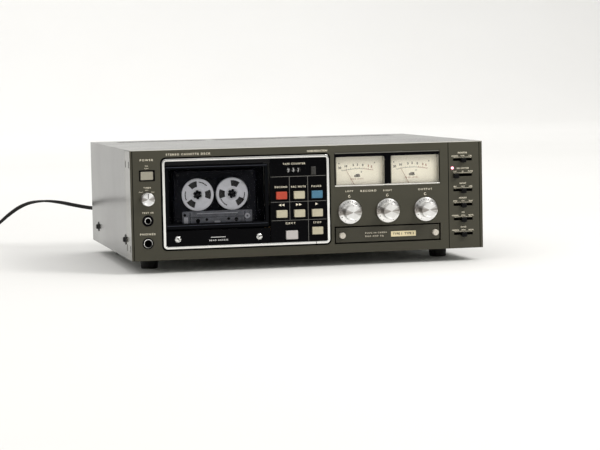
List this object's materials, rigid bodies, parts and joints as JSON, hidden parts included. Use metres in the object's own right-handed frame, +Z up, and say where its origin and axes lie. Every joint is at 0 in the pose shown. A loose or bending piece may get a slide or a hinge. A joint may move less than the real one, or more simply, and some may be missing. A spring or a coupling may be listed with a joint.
{
  "type": "cassette deck",
  "caption": "Full-width front-loading stereo cassette deck with a tilting tape door, level meters, push keys, level knobs, slide switches and a mains lead.",
  "frame": {"origin": "on the surface it stands on, under the middle of the deck's box (casing, knobs and jacks, without the mains lead)", "axes": "+X to the right along the front panel, +Y from the front panel to the rear, +Z up"},
  "size_m": [0.6778, 0.5442, 0.1485],
  "materials": {
    "panel_finish": "fine-textured warm grey anodised panel",
    "cover_finish": "smooth semi-gloss charcoal paint",
    "plated_sheet": "zinc-plated sheet",
    "bright_trim": "bright plated trim",
    "gloss_black": "gloss black acrylic and plastic",
    "satin_black": "satin black plastic",
    "spun_aluminium": "spun aluminium with concentric turning marks",
    "key_cream": "cream plastic",
    "key_red": "red plastic",
    "key_blue": "blue plastic",
    "key_silver": "silver-grey plastic",
    "button_taupe": "taupe plastic",
    "dial_card": "cream printed dial",
    "needle_red": "thin painted pointer",
    "smoked_window": "smoked acrylic",
    "cassette_plastic": "dark translucent shell",
    "reel_silver": "silver-white reel flange",
    "rubber_black": "black rubber and cord jacket",
    "polished_steel": "ground steel",
    "board_resin": "printed board with parts",
    "core_iron": "laminated core"
  },
  "bodies": {
    "root": {"front_panel": "panel_finish", "top_cover": "cover_finish", "chassis_pan": "plated_sheet", "rear_panel": "plated_sheet", "line_jack_block": "satin_black", "foot_front_left": "rubber_black", "foot_rear_left": "rubber_black", "foot_front_right": "rubber_black", "foot_rear_right": "rubber_black", "bay_frame": "bright_trim", "key_panel": "gloss_black", "head_cover": "gloss_black", "mechanism_plate": "plated_sheet", "transformer": "core_iron", "main_board": "board_resin", "meter_bezel": "gloss_black", "meter_unit_left": "dial_card", "meter_unit_right": "dial_card", "test_jack": "satin_black", "phones_jack": "satin_black", "access_cover": "panel_finish", "mains_cord": "rubber_black", "cord_coil": "rubber_black", "cord_relief": "rubber_black", "plug": "rubber_black"},
    "power_button": {"power_button": "button_taupe"},
    "timer_knob": {"timer_knob": "spun_aluminium"},
    "record_level_knob_left": {"record_level_knob_left": "spun_aluminium"},
    "record_level_knob_right": {"record_level_knob_right": "spun_aluminium"},
    "output_level_knob": {"output_level_knob": "spun_aluminium"},
    "noise_switch_lever": {"noise_switch_lever": "gloss_black"},
    "bias_switch_lever": {"bias_switch_lever": "gloss_black"},
    "input_switch_lever": {"input_switch_lever": "gloss_black"},
    "memory_switch_lever": {"memory_switch_lever": "gloss_black"},
    "tape_switch_lever": {"tape_switch_lever": "gloss_black"},
    "eq_switch_lever": {"eq_switch_lever": "gloss_black"},
    "record_key": {"record_key": "key_red"},
    "mute_key": {"mute_key": "key_cream"},
    "pause_key": {"pause_key": "key_blue"},
    "rewind_key": {"rewind_key": "key_cream"},
    "fast_forward_key": {"fast_forward_key": "key_cream"},
    "play_key": {"play_key": "key_cream"},
    "stop_key": {"stop_key": "key_cream"},
    "eject_key": {"eject_key": "key_silver"},
    "counter_reset_button": {"counter_reset_button": "satin_black"},
    "takeup_spindle": {"takeup_spindle": "satin_black"},
    "supply_spindle": {"supply_spindle": "satin_black"},
    "door": {"door_frame": "gloss_black", "door_window": "smoked_window", "cassette_shell": "cassette_plastic"},
    "takeup_reel": {"takeup_reel": "reel_silver"},
    "supply_reel": {"supply_reel": "reel_silver"},
    "counter_wheel_hundreds": {"counter_wheel_hundreds": "satin_black"},
    "counter_wheel_tens": {"counter_wheel_tens": "satin_black"},
    "counter_wheel_ones": {"counter_wheel_ones": "satin_black"},
    "capstan_flywheel": {"capstan_flywheel": "polished_steel"},
    "head_carriage": {"head_carriage": "polished_steel"},
    "pinch_roller": {"pinch_roller": "rubber_black"},
    "meter_needle_left": {"meter_needle_left": "needle_red"},
    "meter_needle_right": {"meter_needle_right": "needle_red"}
  },
  "joints": [
    {"name": "power_press", "type": "slide", "parent": "root", "child": "power_button", "axis": [0, 1, 0], "range_m": [0, 0.003], "stiffness_N_per_m": 250},
    {"name": "timer_turn", "type": "hinge", "parent": "root", "child": "timer_knob", "pos_m": [-0.2001, -0.17125, 0.0899], "axis": [0, 1, 0], "range_deg": [-45, 45]},
    {"name": "record_level_left_turn", "type": "hinge", "parent": "root", "child": "record_level_knob_left", "pos_m": [0.0493, -0.17125, 0.0662], "axis": [0, 1, 0], "range_deg": [-150, 150]},
    {"name": "record_level_right_turn", "type": "hinge", "parent": "root", "child": "record_level_knob_right", "pos_m": [0.0975, -0.17125, 0.0662], "axis": [0, 1, 0], "range_deg": [-150, 150]},
    {"name": "output_level_turn", "type": "hinge", "parent": "root", "child": "output_level_knob", "pos_m": [0.1459, -0.17125, 0.0662], "axis": [0, 1, 0], "range_deg": [-150, 150]},
    {"name": "noise_switch_slide", "type": "slide", "parent": "root", "child": "noise_switch_lever", "axis": [1, 0, 0], "range_m": [-0.0093, 0.0093]},
    {"name": "bias_switch_slide", "type": "slide", "parent": "root", "child": "bias_switch_lever", "axis": [1, 0, 0], "range_m": [0, 0.0186]},
    {"name": "input_switch_slide", "type": "slide", "parent": "root", "child": "input_switch_lever", "axis": [1, 0, 0], "range_m": [-0.0093, 0.0093]},
    {"name": "memory_switch_slide", "type": "slide", "parent": "root", "child": "memory_switch_lever", "axis": [1, 0, 0], "range_m": [-0.0093, 0.0093]},
    {"name": "tape_switch_slide", "type": "slide", "parent": "root", "child": "tape_switch_lever", "axis": [1, 0, 0], "range_m": [-0.0093, 0.0093]},
    {"name": "eq_switch_slide", "type": "slide", "parent": "root", "child": "eq_switch_lever", "axis": [1, 0, 0], "range_m": [-0.0093, 0.0093]},
    {"name": "record_press", "type": "slide", "parent": "root", "child": "record_key", "axis": [0, 1, 0], "range_m": [0, 0.0025], "stiffness_N_per_m": 250},
    {"name": "mute_press", "type": "slide", "parent": "root", "child": "mute_key", "axis": [0, 1, 0], "range_m": [0, 0.0025], "stiffness_N_per_m": 250},
    {"name": "pause_press", "type": "slide", "parent": "root", "child": "pause_key", "axis": [0, 1, 0], "range_m": [0, 0.0025], "stiffness_N_per_m": 250},
    {"name": "rewind_press", "type": "slide", "parent": "root", "child": "rewind_key", "axis": [0, 1, 0], "range_m": [0, 0.0025], "stiffness_N_per_m": 250},
    {"name": "fast_forward_press", "type": "slide", "parent": "root", "child": "fast_forward_key", "axis": [0, 1, 0], "range_m": [0, 0.0025], "stiffness_N_per_m": 250},
    {"name": "play_press", "type": "slide", "parent": "root", "child": "play_key", "axis": [0, 1, 0], "range_m": [0, 0.0025], "stiffness_N_per_m": 250},
    {"name": "stop_press", "type": "slide", "parent": "root", "child": "stop_key", "axis": [0, 1, 0], "range_m": [0, 0.0025], "stiffness_N_per_m": 250},
    {"name": "eject_press", "type": "slide", "parent": "root", "child": "eject_key", "axis": [0, 1, 0], "range_m": [0, 0.0025], "stiffness_N_per_m": 250},
    {"name": "counter_reset_press", "type": "slide", "parent": "root", "child": "counter_reset_button", "axis": [0, 1, 0], "range_m": [0, 0.002], "stiffness_N_per_m": 250},
    {"name": "takeup_spindle_turn", "type": "hinge", "parent": "root", "child": "takeup_spindle", "pos_m": [-0.09375, -0.17125, 0.0924], "axis": [0, 1, 0], "continuous": true},
    {"name": "supply_spindle_turn", "type": "hinge", "parent": "root", "child": "supply_spindle", "pos_m": [-0.13625, -0.17125, 0.0924], "axis": [0, 1, 0], "continuous": true},
    {"name": "door_tilt", "type": "hinge", "parent": "root", "child": "door", "pos_m": [-0.115, -0.16625, 0.0545], "axis": [1, 0, 0], "range_deg": [0, 30]},
    {"name": "takeup_reel_turn", "type": "hinge", "parent": "door", "child": "takeup_reel", "pos_m": [-0.09375, -0.15525, 0.0924], "axis": [0, 1, 0], "continuous": true},
    {"name": "supply_reel_turn", "type": "hinge", "parent": "door", "child": "supply_reel", "pos_m": [-0.13625, -0.15525, 0.0924], "axis": [0, 1, 0], "continuous": true},
    {"name": "counter_hundreds_turn", "type": "hinge", "parent": "root", "child": "counter_wheel_hundreds", "pos_m": [-0.0257, -0.16335, 0.1192], "axis": [1, 0, 0], "continuous": true},
    {"name": "counter_tens_turn", "type": "hinge", "parent": "root", "child": "counter_wheel_tens", "pos_m": [-0.0195, -0.16335, 0.1192], "axis": [1, 0, 0], "continuous": true},
    {"name": "counter_ones_turn", "type": "hinge", "parent": "root", "child": "counter_wheel_ones", "pos_m": [-0.0133, -0.16335, 0.1192], "axis": [1, 0, 0], "continuous": true},
    {"name": "capstan_turn", "type": "hinge", "parent": "root", "child": "capstan_flywheel", "pos_m": [-0.094, -0.17125, 0.065], "axis": [0, 1, 0], "continuous": true},
    {"name": "head_carriage_lift", "type": "slide", "parent": "root", "child": "head_carriage", "axis": [0, 0, 1], "range_m": [0, 0.007], "stiffness_N_per_m": 60},
    {"name": "pinch_roller_turn", "type": "hinge", "parent": "head_carriage", "child": "pinch_roller", "pos_m": [-0.094, -0.15525, 0.051], "axis": [0, 1, 0], "continuous": true},
    {"name": "meter_needle_left_swing", "type": "hinge", "parent": "root", "child": "meter_needle_left", "pos_m": [0.062, -0.16475, 0.0905], "axis": [0, 1, 0], "range_deg": [-11, 68], "stiffness_Nm_per_rad": 0.0005},
    {"name": "meter_needle_right_swing", "type": "hinge", "parent": "root", "child": "meter_needle_right", "pos_m": [0.1317, -0.16475, 0.0905], "axis": [0, 1, 0], "range_deg": [-11, 68], "stiffness_Nm_per_rad": 0.0005}
  ],
  "couplings": [
    {"joint": "supply_spindle_turn", "follows": "takeup_spindle_turn", "ratio": 1},
    {"joint": "takeup_reel_turn", "follows": "takeup_spindle_turn", "ratio": 1},
    {"joint": "supply_reel_turn", "follows": "takeup_spindle_turn", "ratio": 1},
    {"joint": "counter_hundreds_turn", "follows": "takeup_spindle_turn", "ratio": 0.0005},
    {"joint": "counter_tens_turn", "follows": "takeup_spindle_turn", "ratio": 0.005},
    {"joint": "counter_ones_turn", "follows": "takeup_spindle_turn", "ratio": 0.05}
  ]
}
